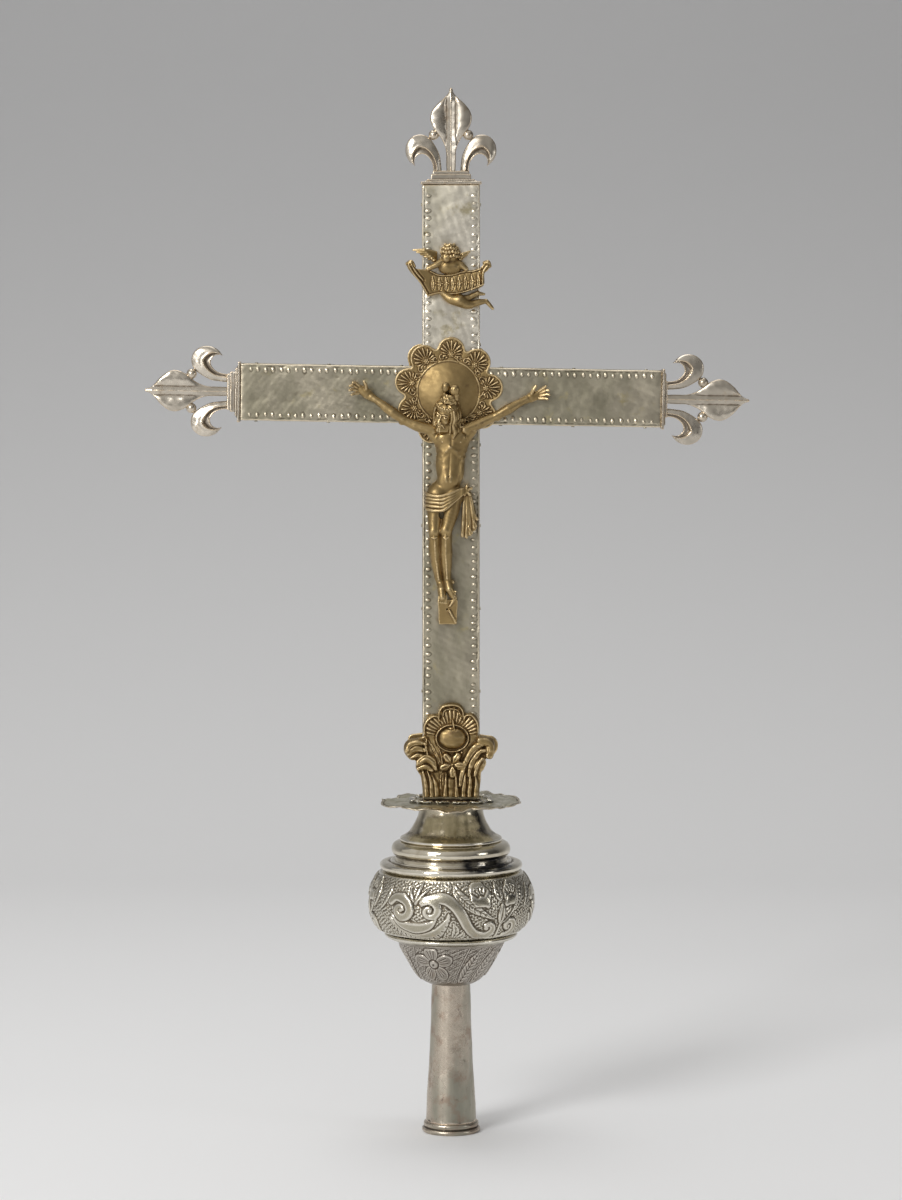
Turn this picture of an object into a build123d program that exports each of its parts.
from build123d import *
import os
from math import asin, cos, hypot, radians, sin

os.makedirs("parts", exist_ok=True)

# A processional cross: sheet-covered wooden cross, gilt figures, hammered knop and a socket for
# its staff. The origin is the centre of the foot, +Z runs up the socket and the front faces -Y.
# All sizes are in millimetres.

# ---- The limbs -------------------------------------------------------------------------------
LIMB_WIDTH = 41.6            # over the sheets, upright
ARM_WIDTH = 41.2             # over the sheets, arms
LIMB_DEPTH = 16.0            # front sheet to back sheet
SHEET = 0.6                  # plated sheet
CROSSING_HEIGHT = 535.6      # centre of the arms above the foot
ARM_TILT = 1.0               # the arms were let in slightly askew, right end low
UPRIGHT_TOP = 686.0          # outer end of the upper limb
ARM_REACH = 151.0            # centre line to outer end of each arm
SHOULDER_HEIGHT = 243.2      # where the core rests on the neck bush
SHEET_FOOT = 243.8           # lower end of the lower limb's sheets
SHEET_JOINT = 533.0          # butt joint of the upright's sheets, under the halo
TANG = (16.0, 12.0)          # tang section, width and depth
TANG_LENGTH = 115.0
TANG_CLEARANCE = 0.4         # each side, in the bush

CORE_WIDTH = LIMB_WIDTH - 2 * SHEET
ARM_CORE_WIDTH = ARM_WIDTH - 2 * SHEET
CORE_DEPTH = LIMB_DEPTH - 2 * SHEET
FRONT = -LIMB_DEPTH / 2      # y of the front sheet's face
BACK = LIMB_DEPTH / 2

BEAD_PITCH = 5.5             # raised beads along both edges of each sheet
BEAD_INSET = 4.4
BEAD = (3.5, 2.3)            # across the limb, along the limb
BEAD_RISE = 0.8

# ---- Fasteners -------------------------------------------------------------------------------
PIN_RADIUS = 0.6
PIN_LENGTH = 6.0
PIN_HEAD = (1.2, 0.6)        # radius and height
NAIL_RADIUS = 0.9
NAIL_HEAD = (1.9, 1.2)
TENON_RADIUS = 2.5           # cast tenon below each lily
TENON_LENGTH = 38.0
DOWEL_RADIUS = 2.0
DRILL_OVERRUN = 1.0

# ---- Finials ---------------------------------------------------------------------------------
CAP = (43.2, 17.6, 2.6)      # width, depth, thickness
PLINTH_STEPS = [             # half width, half depth, thickness, going outwards
    (17.2, 7.4, 1.2),
    (14.4, 6.2, 3.7),
    (13.1, 5.2, 2.4),
]
PLINTH_HEIGHT = sum(step[2] for step in PLINTH_STEPS)
LILY_DEPTH = 6.0

# ---- Halo ------------------------------------------------------------------------------------
HALO_CENTRE = (-1.8, 538.2)
HALO_PLATE = 1.0
HALO_LOBES = 9
LOBE_RADIUS = 9.8
LOBE_CENTRE_RADIUS = 29.5
DOME_RADIUS = 21.7
DOME_RISE = 5.5
HALO_PIN_REACH = 24.2        # pin circle, between the dome and the lobes

# ---- Knop and socket -------------------------------------------------------------------------
SHELL = 0.9                  # raised knop sheet
DISC_RADIUS = 52.3
DISC_LOBES = 10
DISC_LOBE_RADIUS = 14.0
DISC_BASE = 241.2
DISC_SHEET = 0.8
NECK_RADIUS = 22.9
TAB_REACH = 28.7
TAB_COUNT = 12
TUBE_RADIUS = 12.4           # inner tube, outside
TUBE_WALL = 1.0
TUBE_SPAN = (98.0, 219.0)
BORE_RADIUS = 16.5           # takes the staff's end
BORE_LENGTH = 22.0
SOCKET_TOP = 111.0
FOOT_HEIGHT = 7.6

TILT_COS = cos(radians(ARM_TILT))
TILT_SIN = sin(radians(ARM_TILT))


# ---- Shared helpers --------------------------------------------------------------------------
def front_plane(y, x=0.0, z=0.0):
    """Sketch plane facing the viewer, local x to the right and local y up."""
    return Plane(origin=(x, y, z), x_dir=(1, 0, 0), z_dir=(0, -1, 0))


def arm_plane(y):
    """Sketch plane facing the viewer, its local x along the tilted arms."""
    return Plane(origin=(0, y, CROSSING_HEIGHT), x_dir=(TILT_COS, 0, -TILT_SIN), z_dir=(0, -1, 0))


def arm_point(along, across=0.0):
    """Point of the XZ plane at a distance along and across the tilted arms."""
    return (
        along * TILT_COS + across * TILT_SIN,
        CROSSING_HEIGHT - along * TILT_SIN + across * TILT_COS,
    )


def peg_place(x, y, z, outward):
    """Location of a peg that is driven against the outward direction."""
    return Plane(origin=(x, y, z), z_dir=outward).location


def save(piece, name):
    """Label a finished piece and write it to its own STEP file."""
    piece.part.label = name
    export_step(piece.part, f"parts/{name}.step")


def make_pins(places, radius, length, head):
    """Group of separate pins with round heads, one at each place."""
    with BuildPart() as pins:
        with Locations(*places):
            Cylinder(radius, length, align=(Align.CENTER, Align.CENTER, Align.MAX))
            Cylinder(head[0], head[1], align=(Align.CENTER, Align.CENTER, Align.MIN))
    return pins


def make_drills(places, radius, length):
    """Cutters for the holes of a fastener group, running a little past the surface."""
    with BuildPart() as drills:
        with Locations(*places):
            with Locations((0, 0, DRILL_OVERRUN)):
                Cylinder(
                    radius, length + DRILL_OVERRUN, align=(Align.CENTER, Align.CENTER, Align.MAX)
                )
    return drills


def thin_outline(outline, wall):
    """Inner side of a wall whose outer side passes through the outline's points."""
    inner = []
    last = len(outline) - 1
    for index, (r, z) in enumerate(outline):
        before = outline[max(index - 1, 0)]
        after = outline[min(index + 1, last)]
        length = hypot(after[0] - before[0], after[1] - before[1])
        step_r = (after[1] - before[1]) / length * wall
        step_z = -(after[0] - before[0]) / length * wall
        inner.append((r + step_r, z + step_z))
    return inner


def spun_shell(outline, wall):
    """Thin shell turned about Z, its outside through (radius, height) points from the top."""
    with BuildPart() as shell:
        with BuildSketch(Plane.XZ):
            with BuildLine():
                outside = Spline(*outline)
                inside = Spline(*thin_outline(outline, wall))
                Line(outside @ 0, inside @ 0)
                Line(outside @ 1, inside @ 1)
            make_face()
        revolve(axis=Axis.Z)
    return shell


def add_limb(points, radii):
    """Rounded limb through the points: a ball at each joint and a cone between two balls."""
    for point, radius in zip(points, radii):
        with Locations(point):
            Sphere(radius)
    for start, end, r_start, r_end in zip(points, points[1:], radii, radii[1:]):
        run = Vector(*end) - Vector(*start)
        with Locations(Plane(origin=start, z_dir=run).location):
            Cone(r_start, r_end, run.length, align=(Align.CENTER, Align.CENTER, Align.MIN))


# ---- Fasteners -------------------------------------------------------------------------------
# Small pins through the side flanges and the back sheets hold the plating to the core.
SIDE = (-1, 1)
UPRIGHT_PIN_HEIGHTS = (262, 322, 382, 442, 500, 572, 622, 672)
ARM_PIN_REACHES = (36, 88, 140)

side_places = [
    peg_place(side * LIMB_WIDTH / 2, 0, height, (side, 0, 0))
    for side in SIDE
    for height in UPRIGHT_PIN_HEIGHTS
]
for end in SIDE:
    for reach in ARM_PIN_REACHES:
        for side in SIDE:
            x, z = arm_point(end * reach, side * ARM_WIDTH / 2)
            side_places.append(peg_place(x, 0, z, (side * TILT_SIN, 0, side * TILT_COS)))

back_places = [peg_place(0, BACK, height, (0, 1, 0)) for height in (330, 500, 590, 650)]
for reach in (-115, -60, 60, 115):
    x, z = arm_point(reach)
    back_places.append(peg_place(x, BACK, z, (0, 1, 0)))

sheet_places = side_places + back_places
sheet_pins = make_pins(sheet_places, PIN_RADIUS, PIN_LENGTH, PIN_HEAD)

halo_places = []
for facing in SIDE:
    for quarter in range(4):
        angle = radians(45 + 90 * quarter)
        halo_places.append(
            peg_place(
                HALO_CENTRE[0] + HALO_PIN_REACH * cos(angle),
                facing * (LIMB_DEPTH / 2 + BEAD_RISE + HALO_PLATE),
                HALO_CENTRE[1] + HALO_PIN_REACH * sin(angle),
                (0, facing, 0),
            )
        )
HALO_PIN_LENGTH = PIN_LENGTH + BEAD_RISE + HALO_PLATE
halo_pins = make_pins(halo_places, PIN_RADIUS, HALO_PIN_LENGTH, PIN_HEAD)

STANDOFF = BEAD_RISE + 0.1   # castings lie on the beads
TITLE_RELIEF = 3.0           # plate thickness of the scroll
title_places = [
    peg_place(x, FRONT - STANDOFF - TITLE_RELIEF, 615.5, (0, -1, 0)) for x in (-10.0, 16.0)
]
TITLE_PIN_LENGTH = PIN_LENGTH + STANDOFF + TITLE_RELIEF
title_pins = make_pins(title_places, PIN_RADIUS, TITLE_PIN_LENGTH, PIN_HEAD)

ACANTHUS_DEPTH = 4.0
acanthus_places = [
    peg_place(x, facing * (LIMB_DEPTH / 2 + STANDOFF + ACANTHUS_DEPTH), 257.0, (0, facing, 0))
    for facing in SIDE
    for x in (-13.0, 13.0)
]
ACANTHUS_PIN_LENGTH = PIN_LENGTH + STANDOFF + ACANTHUS_DEPTH
acanthus_pins = make_pins(acanthus_places, PIN_RADIUS, ACANTHUS_PIN_LENGTH, PIN_HEAD)

HAND_PLACES = [(-63.2, 538.9), (60.0, 535.0)]
HAND_FRONT = FRONT - 3.6
FOOT_NAIL = (-2.6, 397.5)
FOOT_FRONT = FRONT - 11.5
nail_places = [peg_place(x, HAND_FRONT, z, (0, -1, 0)) for x, z in HAND_PLACES]
nail_places.append(peg_place(FOOT_NAIL[0], FOOT_FRONT, FOOT_NAIL[1], (0, -1, 0)))
NAIL_LENGTHS = (11.0, 11.0, 18.0)
with BuildPart() as corpus_nails:
    for place, length in zip(nail_places, NAIL_LENGTHS):
        with Locations(place):
            Cylinder(NAIL_RADIUS, length, align=(Align.CENTER, Align.CENTER, Align.MAX))
            Cone(NAIL_HEAD[0], 0.8, NAIL_HEAD[1], align=(Align.CENTER, Align.CENTER, Align.MIN))

DRILLS = {
    "sheet_pins": make_drills(sheet_places, PIN_RADIUS, PIN_LENGTH),
    "halo_pins": make_drills(halo_places, PIN_RADIUS, HALO_PIN_LENGTH),
    "title_pins": make_drills(title_places, PIN_RADIUS, TITLE_PIN_LENGTH),
    "acanthus_pins": make_drills(acanthus_places, PIN_RADIUS, ACANTHUS_PIN_LENGTH),
    "hand_nails": make_drills(nail_places[:2], NAIL_RADIUS, NAIL_LENGTHS[0]),
    "foot_nail": make_drills(nail_places[2:], NAIL_RADIUS, NAIL_LENGTHS[2]),
}


def drill_for(*groups):
    """Drill the holes of the named fastener groups through the piece being built."""
    for group in groups:
        add(DRILLS[group].part, mode=Mode.SUBTRACT)


with BuildPart() as core_dowels:
    with Locations(*[peg_place(x, CORE_DEPTH / 2, CROSSING_HEIGHT + x, (0, 1, 0)) for x in (-9.0, 9.0)]):
        Cylinder(DOWEL_RADIUS, CORE_DEPTH, align=(Align.CENTER, Align.CENTER, Align.MAX))


# ---- Wooden core: an upright and an arm, halved together ---------------------------------------
def end_plane(end):
    """Plane across the outer end of a limb, its normal pointing outwards and local y to the back."""
    if end == "top":
        return Plane(origin=(0, 0, UPRIGHT_TOP), x_dir=(1, 0, 0), z_dir=(0, 0, 1))
    side = -1 if end == "left" else 1
    x, z = arm_point(side * ARM_REACH)
    outward = Vector(side * TILT_COS, 0, -side * TILT_SIN)
    return Plane(origin=(x, 0, z), x_dir=Vector(0, 1, 0).cross(outward), z_dir=outward)


def bore_for_tenon(end):
    """Blind hole in the core for the tenon of the lily at this end."""
    depth = TENON_LENGTH - PLINTH_HEIGHT - CAP[2] + 1.0
    with Locations(end_plane(end).location):
        Cylinder(
            TENON_RADIUS + 0.1,
            depth,
            align=(Align.CENTER, Align.CENTER, Align.MAX),
            mode=Mode.SUBTRACT,
        )


with BuildPart() as upright_core:
    with BuildSketch(Plane.XY.offset(SHOULDER_HEIGHT)):
        Rectangle(CORE_WIDTH, CORE_DEPTH)
    extrude(amount=UPRIGHT_TOP - SHOULDER_HEIGHT)
    with BuildSketch(Plane.XY.offset(SHOULDER_HEIGHT)):
        Rectangle(*TANG)
    extrude(amount=-TANG_LENGTH)
    chamfer(upright_core.faces().sort_by(Axis.Z)[0].edges(), 1.5)
    with BuildSketch(arm_plane(0)):
        Rectangle(LIMB_WIDTH + 4, ARM_CORE_WIDTH)
    extrude(amount=CORE_DEPTH, mode=Mode.SUBTRACT)
    bore_for_tenon("top")
    add(core_dowels.part, mode=Mode.SUBTRACT)
    drill_for(*DRILLS)

with BuildPart() as arm_core:
    with BuildSketch(arm_plane(CORE_DEPTH / 2)):
        Rectangle(2 * ARM_REACH, ARM_CORE_WIDTH)
    extrude(amount=CORE_DEPTH)
    with BuildSketch(front_plane(0, z=CROSSING_HEIGHT)):
        Rectangle(CORE_WIDTH, ARM_WIDTH + 4)
    extrude(amount=-CORE_DEPTH, mode=Mode.SUBTRACT)
    bore_for_tenon("left")
    bore_for_tenon("right")
    add(core_dowels.part, mode=Mode.SUBTRACT)
    drill_for("sheet_pins", "halo_pins", "hand_nails")


# ---- Plated sheets ---------------------------------------------------------------------------
def bead_row_count(length):
    """How many beads fit along a limb of this length."""
    return int((length - BEAD_PITCH) // BEAD_PITCH)


def upright_front_sheet(low, high):
    """Folded front sheet of the upright: face, two side flanges and two rows of beads."""
    middle = (low + high) / 2
    with BuildPart() as sheet:
        with BuildSketch(front_plane(BACK - SHEET, z=middle)):
            Rectangle(LIMB_WIDTH, high - low)
        extrude(amount=LIMB_DEPTH - SHEET)
        with BuildSketch(front_plane(BACK, z=middle)):
            Rectangle(CORE_WIDTH, high - low + 2)
        extrude(amount=LIMB_DEPTH - SHEET, mode=Mode.SUBTRACT)
        with BuildSketch(arm_plane(BACK)):
            Rectangle(LIMB_WIDTH + 4, ARM_WIDTH + 0.6)
        extrude(amount=LIMB_DEPTH - SHEET, mode=Mode.SUBTRACT)
        with BuildSketch(front_plane(FRONT + SHEET / 2, z=middle)):
            with GridLocations(LIMB_WIDTH - 2 * BEAD_INSET, BEAD_PITCH, 2, bead_row_count(high - low)):
                SlotOverall(*BEAD)
        extrude(amount=SHEET / 2 + BEAD_RISE)
        drill_for(*DRILLS)
    return sheet


ARM_SHEET_START = LIMB_WIDTH / 2 + 0.6


def arm_front_sheet(side):
    """Folded front sheet of one arm, from the upright's edge to the arm's outer end."""
    length = ARM_REACH - ARM_SHEET_START
    middle = side * (ARM_REACH + ARM_SHEET_START) / 2
    with BuildPart() as sheet:
        with BuildSketch(arm_plane(BACK - SHEET)):
            with Locations((middle, 0)):
                Rectangle(length, ARM_WIDTH)
        extrude(amount=LIMB_DEPTH - SHEET)
        with BuildSketch(arm_plane(BACK)):
            with Locations((middle, 0)):
                Rectangle(length + 2, ARM_CORE_WIDTH)
        extrude(amount=LIMB_DEPTH - SHEET, mode=Mode.SUBTRACT)
        with BuildSketch(arm_plane(FRONT + SHEET / 2)):
            with Locations((middle, 0)):
                with GridLocations(BEAD_PITCH, ARM_WIDTH - 2 * BEAD_INSET, bead_row_count(length), 2):
                    SlotOverall(*BEAD, rotation=90)
        extrude(amount=SHEET / 2 + BEAD_RISE)
        drill_for("sheet_pins", "hand_nails")
    return sheet


def upright_back_sheet(low, high):
    """Flat back sheet of the upright, lying on the front sheet's flanges."""
    with BuildPart() as sheet:
        with BuildSketch(front_plane(BACK, z=(low + high) / 2)):
            Rectangle(LIMB_WIDTH, high - low)
        extrude(amount=SHEET)
        drill_for("sheet_pins", "halo_pins", "acanthus_pins")
    return sheet


def arm_back_sheet(side):
    """Flat back sheet of one arm."""
    with BuildPart() as sheet:
        with BuildSketch(arm_plane(BACK)):
            with Locations((side * (ARM_REACH + ARM_SHEET_START) / 2, 0)):
                Rectangle(ARM_REACH - ARM_SHEET_START, ARM_WIDTH)
        extrude(amount=SHEET)
        drill_for("sheet_pins")
    return sheet


upper_front_sheet = upright_front_sheet(SHEET_JOINT, UPRIGHT_TOP)
lower_front_sheet = upright_front_sheet(SHEET_FOOT, SHEET_JOINT)
left_front_sheet = arm_front_sheet(-1)
right_front_sheet = arm_front_sheet(1)
upper_back_sheet = upright_back_sheet(SHEET_JOINT, UPRIGHT_TOP)
lower_back_sheet = upright_back_sheet(SHEET_FOOT, SHEET_JOINT)
left_back_sheet = arm_back_sheet(-1)
right_back_sheet = arm_back_sheet(1)


# ---- Finials: cap, stepped plinth and cast lily ------------------------------------------------
def end_cap(end):
    """Flat cap that closes the end of a limb, pierced for the lily's tenon."""
    with BuildPart() as cap:
        with BuildSketch(end_plane(end)):
            RectangleRounded(CAP[0], CAP[1], 1.2)
            Circle(TENON_RADIUS, mode=Mode.SUBTRACT)
        extrude(amount=CAP[2])
    return cap


def plinth(end):
    """Stepped plinth under the lily, pierced for its tenon."""
    with BuildPart() as block:
        height = CAP[2]
        for half_width, half_depth, thickness in PLINTH_STEPS:
            with BuildSketch(end_plane(end).offset(height)):
                RectangleRounded(2 * half_width, 2 * half_depth, 0.8)
            extrude(amount=thickness)
            height += thickness
        with BuildSketch(end_plane(end).offset(CAP[2])):
            Circle(TENON_RADIUS)
        extrude(amount=PLINTH_HEIGHT, mode=Mode.SUBTRACT)
    return block


LEAF_EDGE = [(3.3, 0), (3.5, 15), (6.3, 22.5), (12.0, 29.5), (14.9, 38.2), (9.2, 48.6), (2.0, 55.2), (0, 59.4)]
CURL_OUTER = [(6.9, 0), (8.1, 12.5), (12.6, 22.4), (22.2, 26.0), (31.2, 20.6), (32.2, 12.2), (25.2, 3.6)]
CURL_INNER = [(25.2, 3.6), (26.2, 9.6), (20.3, 12.1), (14.4, 7.6), (12.4, 0)]
LILY_BEAD = (12.2, 25.6, 3.65)


def lily(end):
    """Cast lily: a pointed leaf, two curled side leaves tied to it by beads, and a tenon."""
    base = end_plane(end).offset(CAP[2] + PLINTH_HEIGHT)
    face = Plane(origin=base.origin, x_dir=base.x_dir, z_dir=(0, -1, 0))
    with BuildPart() as casting:
        with BuildSketch(face):
            with BuildLine():
                edge = Spline(*LEAF_EDGE)
                Line((0, 0), edge @ 0)
                mirror(about=Plane.YZ)
            make_face()
            with BuildLine():
                outer = Spline(*CURL_OUTER)
                inner = Spline(*CURL_INNER)
                Line(inner @ 1, outer @ 0)
            make_face()
            mirror(about=Plane.YZ)
            with Locations((0, 0.8)):
                Rectangle(24.8, 1.6)
        extrude(amount=LILY_DEPTH / 2, both=True)
        for side in SIDE:
            bead_centre = face.from_local_coords((side * LILY_BEAD[0], LILY_BEAD[1], 0))
            with Locations(bead_centre):
                Sphere(LILY_BEAD[2])
        with BuildSketch(base):
            Circle(TENON_RADIUS)
        extrude(amount=-TENON_LENGTH)
    return casting


# ---- Halo: a domed disc with nine lobes at the front, a plain one at the back -------------------
def dome_arc(depth):
    """Arc from the dome's rim to its crown, a depth below the outer sphere, centred on the axis."""
    sphere = (DOME_RADIUS**2 + DOME_RISE**2) / (2 * DOME_RISE)
    radius = sphere - depth
    drop = sphere - DOME_RISE
    rim = (radius**2 - drop**2) ** 0.5
    half = asin(rim / radius) / 2
    return ThreePointArc(
        (rim, 0), (radius * sin(half), radius * cos(half) - drop), (0, radius - drop)
    )


def halo(facing):
    """Lobed halo on the face of the crossing that looks along facing * Y."""
    seat = facing * (LIMB_DEPTH / 2 + BEAD_RISE)
    plane = Plane(
        origin=(HALO_CENTRE[0], seat, HALO_CENTRE[1]), x_dir=(-facing, 0, 0), z_dir=(0, facing, 0)
    )
    with BuildPart() as disc:
        with BuildSketch(plane):
            Circle(LOBE_CENTRE_RADIUS)
            with PolarLocations(LOBE_CENTRE_RADIUS, HALO_LOBES, start_angle=86):
                Circle(LOBE_RADIUS)
            Circle(DOME_RADIUS - HALO_PLATE / 2, mode=Mode.SUBTRACT)
        extrude(amount=HALO_PLATE)
        with BuildSketch(Plane(origin=plane.origin, x_dir=plane.x_dir, z_dir=(0, 0, -1))):
            with BuildLine():
                outside = dome_arc(0)
                inside = dome_arc(HALO_PLATE)
                Line(outside @ 0, inside @ 0)
                Line(outside @ 1, inside @ 1)
            make_face()
        revolve(axis=Axis(plane.origin, (0, 1, 0)))
        drill_for("halo_pins")
    return disc


halo_front = halo(-1)
halo_back = halo(1)


# ---- Corpus: body and two separately cast arms, nailed to the cross ----------------------------
TORSO = [                    # height, centre x, centre y, half width, half depth
    (514.0, -2.0, -15.0, 12.0, 5.0),
    (502.0, -1.6, -17.0, 11.0, 6.4),
    (484.0, -0.7, -17.0, 9.4, 5.0),
    (468.0, -3.0, -16.8, 13.6, 7.2),
    (452.0, -4.6, -17.4, 13.2, 7.6),
]
HEAD = (-4.2, -21.0, 523.0)
HEAD_RADIUS = 7.2


def corpus_arm(side, hand, shoulder, elbow):
    """One arm from shoulder to open hand, its palm held by a nail."""
    wrist = (hand[0] - side * 6.5, FRONT - 3.0, hand[1] - 3.6)
    with BuildPart() as arm:
        add_limb([shoulder, elbow, wrist], [4.4, 3.4, 2.5])
        with BuildSketch(front_plane(FRONT - 0.3, hand[0] + side * 1.6, hand[1] + 0.4)):
            RectangleRounded(15.5, 7.6, 3.0, rotation=side * 14)
        extrude(amount=3.3)
        drill_for("hand_nails")
    return arm


corpus_left_arm = corpus_arm(-1, HAND_PLACES[0], (-14.2, -15.5, 511.5), (-34.2, -14.4, 518.9))
corpus_right_arm = corpus_arm(1, HAND_PLACES[1], (10.2, -15.5, 511.5), (32.7, -14.4, 521.0))

with BuildPart() as foot_block:
    with BuildSketch(front_plane(FRONT - BEAD_RISE / 2, -2.3, 378.2)):
        Trapezoid(14.3, 13.4, 86)
    extrude(amount=9.0)
    fillet(foot_block.edges().filter_by(Axis.Y), 1.2)

with BuildPart() as corpus_body:
    for height, x, y, half_width, half_depth in TORSO:
        with BuildSketch(Plane(origin=(x, y, height))):
            Ellipse(half_width, half_depth)
    loft()
    with Locations(HEAD):
        Sphere(HEAD_RADIUS)
    add_limb([(-2.0, -16.0, 511.0), HEAD], [5.4, 5.0])
    with Locations((-2.6, -19.0, 533.6), (-0.4, -18.0, 541.2)):
        Sphere(5.4)
    add_limb([(-9.0, -18.0, 456.0), (-11.0, -23.5, 438.0), (-6.4, -18.0, 404.0)], [6.6, 5.4, 3.4])
    add_limb([(2.0, -17.5, 456.0), (-3.2, -23.0, 438.0), (-2.6, -18.5, 404.0)], [6.6, 5.4, 3.4])
    add_limb([(-4.0, -16.2, 403.0), (-3.4, -15.0, 389.6)], [4.4, 3.4])
    with BuildSketch(front_plane(-15.0, 12.2, 451.8)):
        RectangleRounded(10.6, 34.4, 2.5)
    extrude(amount=4.0)
    add_limb([(3.0, -18.0, 464.0), (12.0, -18.0, 467.5)], [5.5, 4.0])
    with Locations((0, FRONT, 450.0)):
        Box(120, 30, 200, align=(Align.CENTER, Align.MIN, Align.CENTER), mode=Mode.SUBTRACT)
    add(corpus_left_arm.part, mode=Mode.SUBTRACT)
    add(corpus_right_arm.part, mode=Mode.SUBTRACT)
    add(foot_block.part, mode=Mode.SUBTRACT)
    add(halo_front.part, mode=Mode.SUBTRACT)
    add(corpus_nails.part, mode=Mode.SUBTRACT)


# ---- Title scroll with its cherub --------------------------------------------------------------
CHERUB = (1.6, 637.6)
with BuildPart() as title_scroll:
    with BuildSketch(front_plane(FRONT - STANDOFF)):
        with BuildLine():
            top = Spline((-30.8, 629.5), (-22.0, 624.5), (0, 625.0), (20.0, 624.0), (26.6, 630.0))
            right = Line(top @ 1, (23.0, 608.5))
            low = Spline(right @ 1, (12.0, 606.8), (-8.0, 608.0), (-20.5, 609.5))
            Line(low @ 1, top @ 0)
        make_face()
        with BuildLine():
            wings = Spline((-26.4, 640.6), (-12.0, 637.5), (1.6, 634.0), (9.0, 637.0), (13.4, 641.0))
            under = Spline(wings @ 1, (9.0, 625.5), (-12.0, 626.0), (-22.0, 630.5))
            Line(under @ 1, wings @ 0)
        make_face()
        with BuildLine():
            leg = Polyline((-2.0, 611.0), (4.0, 598.6), (15.0, 600.4), (28.0, 596.6), (29.6, 601.4), (16.0, 608.6))
            Line(leg @ 1, leg @ 0)
        make_face()
    extrude(amount=TITLE_RELIEF)
    with Locations((CHERUB[0], FRONT - 5.0, CHERUB[1])):
        Sphere(6.0)
    with Locations((0, FRONT - STANDOFF, 620.0)):
        Box(80, 30, 80, align=(Align.CENTER, Align.MIN, Align.CENTER), mode=Mode.SUBTRACT)
    drill_for("title_pins")


# ---- Acanthus mounts at the foot of the cross --------------------------------------------------
ACANTHUS_EDGE = [
    (0, 313.6),
    (8.6, 311.6),
    (10.6, 303.0),
    (20.0, 300.0),
    (21.4, 290.6),
    (31.2, 286.0),
    (29.6, 274.4),
    (24.0, 268.0),
    (23.6, 256.0),
    (20.0, 248.8),
]
CABOCHON = (0.9, 289.2, 3.4)  # x, height and rise of the oval boss
CABOCHON_OVAL = (10.0, 7.9)
ACANTHUS_FLOWER = (0.9, 270.0, 7.4)


def acanthus(facing):
    """Leafy mount with a raised oval cabochon and a small flower, on one face of the upright."""
    seat = facing * (LIMB_DEPTH / 2 + STANDOFF)
    plane = Plane(origin=(0, seat, 0), x_dir=(-facing, 0, 0), z_dir=(0, facing, 0))
    with BuildPart() as mount:
        with BuildSketch(plane):
            with BuildLine():
                edge = Spline(*ACANTHUS_EDGE)
                Line(edge @ 1, (0, ACANTHUS_EDGE[-1][1]))
                mirror(about=Plane.YZ)
            make_face()
        extrude(amount=ACANTHUS_DEPTH)
        for lift, share in ((ACANTHUS_DEPTH - 0.5, 1.0), (ACANTHUS_DEPTH + CABOCHON[2], 0.62)):
            with BuildSketch(plane.offset(lift)):
                with Locations(CABOCHON[:2]):
                    Ellipse(CABOCHON_OVAL[0] * share, CABOCHON_OVAL[1] * share)
        loft()
        with BuildSketch(plane.offset(ACANTHUS_DEPTH)):
            with Locations(ACANTHUS_FLOWER[:2]):
                with PolarLocations(ACANTHUS_FLOWER[2] * 0.6, 6):
                    Circle(ACANTHUS_FLOWER[2] * 0.4)
                Circle(ACANTHUS_FLOWER[2] * 0.6)
        extrude(amount=1.6)
        drill_for("acanthus_pins")
    return mount


acanthus_front = acanthus(-1)
acanthus_back = acanthus(1)


# ---- Knop: scalloped disc, neck, mouldings, belly, girdle and cup, all raised from sheet --------
with BuildPart() as scalloped_disc:
    with BuildSketch(Plane.XY.offset(DISC_BASE)):
        Circle(DISC_RADIUS - DISC_LOBE_RADIUS * 0.55)
        with PolarLocations(DISC_RADIUS - DISC_LOBE_RADIUS, DISC_LOBES, start_angle=9):
            Circle(DISC_LOBE_RADIUS)
        Circle(NECK_RADIUS + 0.1, mode=Mode.SUBTRACT)
    extrude(amount=DISC_SHEET)

NECK_TOP = DISC_BASE + DISC_SHEET + 0.1
NECK_OUTLINE = [
    (NECK_RADIUS, NECK_TOP),
    (NECK_RADIUS + 0.1, 236.5),
    (24.1, 231.5),
    (26.4, 226.4),
    (30.4, 219.9),
    (34.8, 216.8),
    (36.8, 214.4),
]
with BuildPart() as neck:
    add(spun_shell(NECK_OUTLINE, SHELL).part)
    # The upper edge is slit into tabs that are bent out over the disc.
    with BuildSketch(Plane.XY.offset(NECK_TOP - 1.0)):
        Circle(NECK_RADIUS)
        Circle(NECK_RADIUS - SHELL, mode=Mode.SUBTRACT)
    extrude(amount=1.0 + DISC_SHEET)
    with BuildSketch(Plane.XY.offset(NECK_TOP)):
        with PolarLocations((NECK_RADIUS + TAB_REACH) / 2, TAB_COUNT):
            Rectangle(TAB_REACH - NECK_RADIUS + 1.0, 7.0)
        Circle(NECK_RADIUS - SHELL / 2, mode=Mode.SUBTRACT)
    extrude(amount=DISC_SHEET)

SHOULDER_OUTLINE = [(34.0, 213.2), (38.6, 212.8), (42.0, 210.8), (42.9, 207.6), (42.1, 204.2), (41.4, 199.4)]
shoulder_moulding = spun_shell(SHOULDER_OUTLINE, SHELL)

FLANGE_OUTLINE = [(40.0, 199.0), (46.4, 198.6), (50.4, 197.6), (51.4, 195.9), (50.9, 193.8), (49.2, 192.4)]
shoulder_flange = spun_shell(FLANGE_OUTLINE, SHELL)

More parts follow.
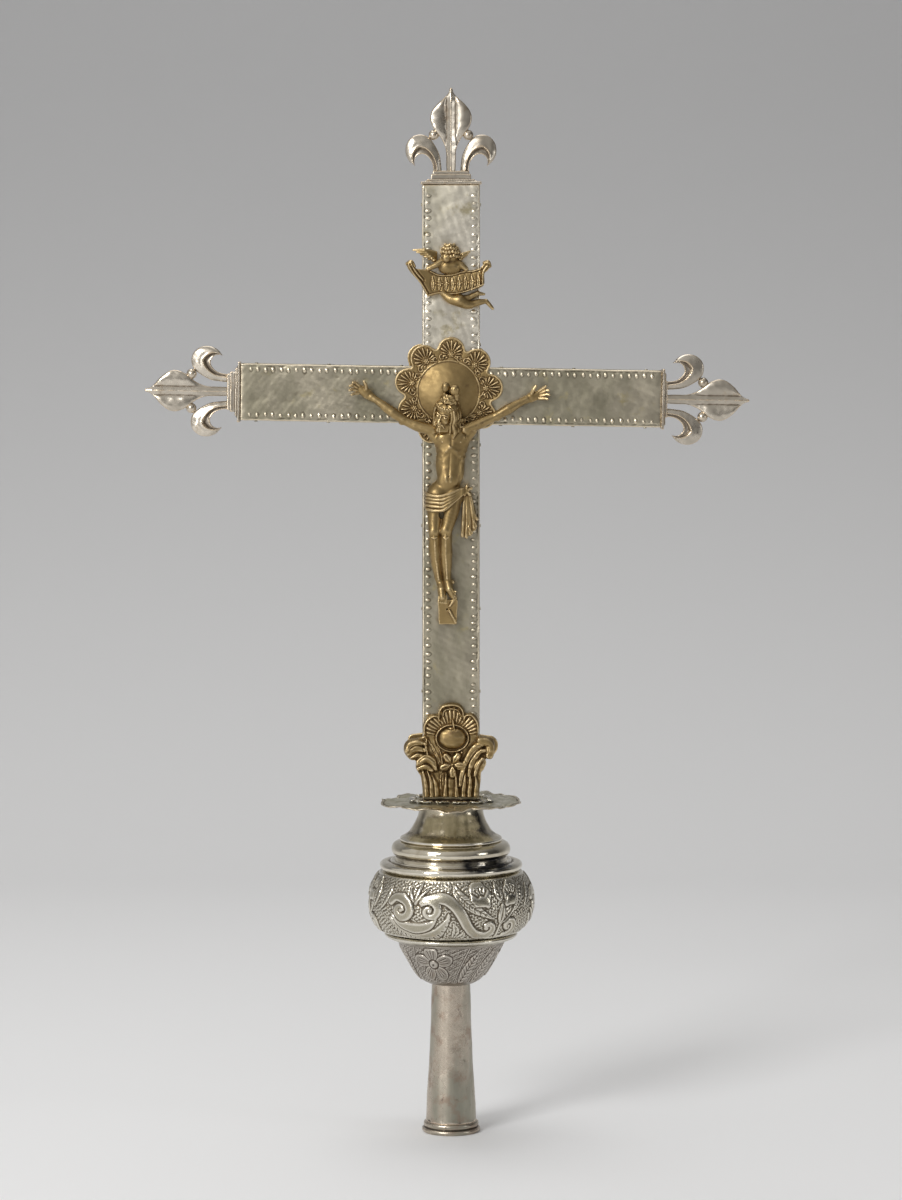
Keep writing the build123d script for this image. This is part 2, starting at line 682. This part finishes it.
BELLY_OUTLINE = [
    (48.6, 192.0),
    (52.4, 190.0),
    (57.6, 181.2),
    (59.1, 172.5),
    (58.5, 162.8),
    (55.6, 154.6),
    (51.6, 149.8),
    (47.4, 147.4),
]
belly = spun_shell(BELLY_OUTLINE, SHELL)

GIRDLE_OUTLINE = [(46.4, 147.0), (47.8, 145.8), (47.0, 143.8), (43.6, 142.6), (39.6, 141.4)]
girdle = spun_shell(GIRDLE_OUTLINE, SHELL)

CUP_OUTLINE = [
    (39.3, 141.0),
    (36.5, 135.5),
    (33.4, 130.0),
    (30.2, 124.4),
    (26.4, 118.4),
    (21.8, 112.6),
    (17.4, 109.8),
    (14.3, 108.8),
]
cup = spun_shell(CUP_OUTLINE, SHELL)

# ---- Inside the knop: the tube that carries the tang, and the wooden bush at its mouth ----------
with BuildPart() as inner_tube:
    with BuildSketch(Plane.XY.offset(TUBE_SPAN[0])):
        Circle(TUBE_RADIUS)
        Circle(TUBE_RADIUS - TUBE_WALL, mode=Mode.SUBTRACT)
    extrude(amount=TUBE_SPAN[1] - TUBE_SPAN[0])

with BuildPart() as neck_bush:
    with BuildSketch(Plane.XY.offset(TUBE_SPAN[1])):
        Circle(NECK_RADIUS - SHELL - 0.3)
    extrude(amount=SHOULDER_HEIGHT - TUBE_SPAN[1])
    chamfer(neck_bush.faces().sort_by(Axis.Z)[0].edges(), 1.5)
    with BuildSketch(Plane.XY.offset(TUBE_SPAN[1])):
        Rectangle(TANG[0] + 2 * TANG_CLEARANCE, TANG[1] + 2 * TANG_CLEARANCE)
    extrude(amount=SHOULDER_HEIGHT - TUBE_SPAN[1], mode=Mode.SUBTRACT)

# ---- Socket for the staff, and the ring at its foot ---------------------------------------------
SOCKET_OUTLINE = [(13.6, SOCKET_TOP), (13.8, 106.0), (15.1, 67.0), (16.9, 36.0), (17.7, 25.0)]
SOCKET_FOOT_RADIUS = 17.8
with BuildPart() as socket_tube:
    with BuildSketch(Plane.XZ):
        with BuildLine():
            outside = Spline(*SOCKET_OUTLINE)
            Polyline(
                outside @ 1,
                (SOCKET_FOOT_RADIUS, 20.0),
                (SOCKET_FOOT_RADIUS, 0),
                (BORE_RADIUS, 0),
                (BORE_RADIUS, BORE_LENGTH),
                (14.0, 67.0),
                (TUBE_RADIUS + 0.2, 98.0),
                (TUBE_RADIUS + 0.1, SOCKET_TOP),
                outside @ 0,
            )
        make_face()
    revolve(axis=Axis.Z)

with BuildPart() as foot_ring:
    with BuildSketch(Plane.XZ):
        with BuildLine():
            inner_edge = SOCKET_FOOT_RADIUS + 0.05
            Polyline((18.6, FOOT_HEIGHT), (inner_edge, FOOT_HEIGHT), (inner_edge, 0), (20.2, 0))
            ThreePointArc((20.2, 0), (21.1, 1.9), (20.3, 3.6))
            Line((20.3, 3.6), (19.2, 3.9))
            ThreePointArc((19.2, 3.9), (19.6, 5.6), (18.6, FOOT_HEIGHT))
        make_face()
    revolve(axis=Axis.Z)


# ---- Files -------------------------------------------------------------------------------------
pieces = {
    "upright_core": upright_core,
    "arm_core": arm_core,
    "core_dowels": core_dowels,
    "upper_front_sheet": upper_front_sheet,
    "lower_front_sheet": lower_front_sheet,
    "left_front_sheet": left_front_sheet,
    "right_front_sheet": right_front_sheet,
    "upper_back_sheet": upper_back_sheet,
    "lower_back_sheet": lower_back_sheet,
    "left_back_sheet": left_back_sheet,
    "right_back_sheet": right_back_sheet,
    "sheet_pins": sheet_pins,
    "halo_pins": halo_pins,
    "title_pins": title_pins,
    "acanthus_pins": acanthus_pins,
    "corpus_nails": corpus_nails,
    "halo_front": halo_front,
    "halo_back": halo_back,
    "corpus_body": corpus_body,
    "corpus_left_arm": corpus_left_arm,
    "corpus_right_arm": corpus_right_arm,
    "foot_block": foot_block,
    "title_scroll": title_scroll,
    "acanthus_front": acanthus_front,
    "acanthus_back": acanthus_back,
    "scalloped_disc": scalloped_disc,
    "neck": neck,
    "shoulder_moulding": shoulder_moulding,
    "shoulder_flange": shoulder_flange,
    "belly": belly,
    "girdle": girdle,
    "cup": cup,
    "inner_tube": inner_tube,
    "neck_bush": neck_bush,
    "socket_tube": socket_tube,
    "foot_ring": foot_ring,
}
for end in ("top", "left", "right"):
    pieces[f"{end}_cap"] = end_cap(end)
    pieces[f"{end}_plinth"] = plinth(end)
    pieces[f"{end}_lily"] = lily(end)

for name, piece in pieces.items():
    save(piece, name)
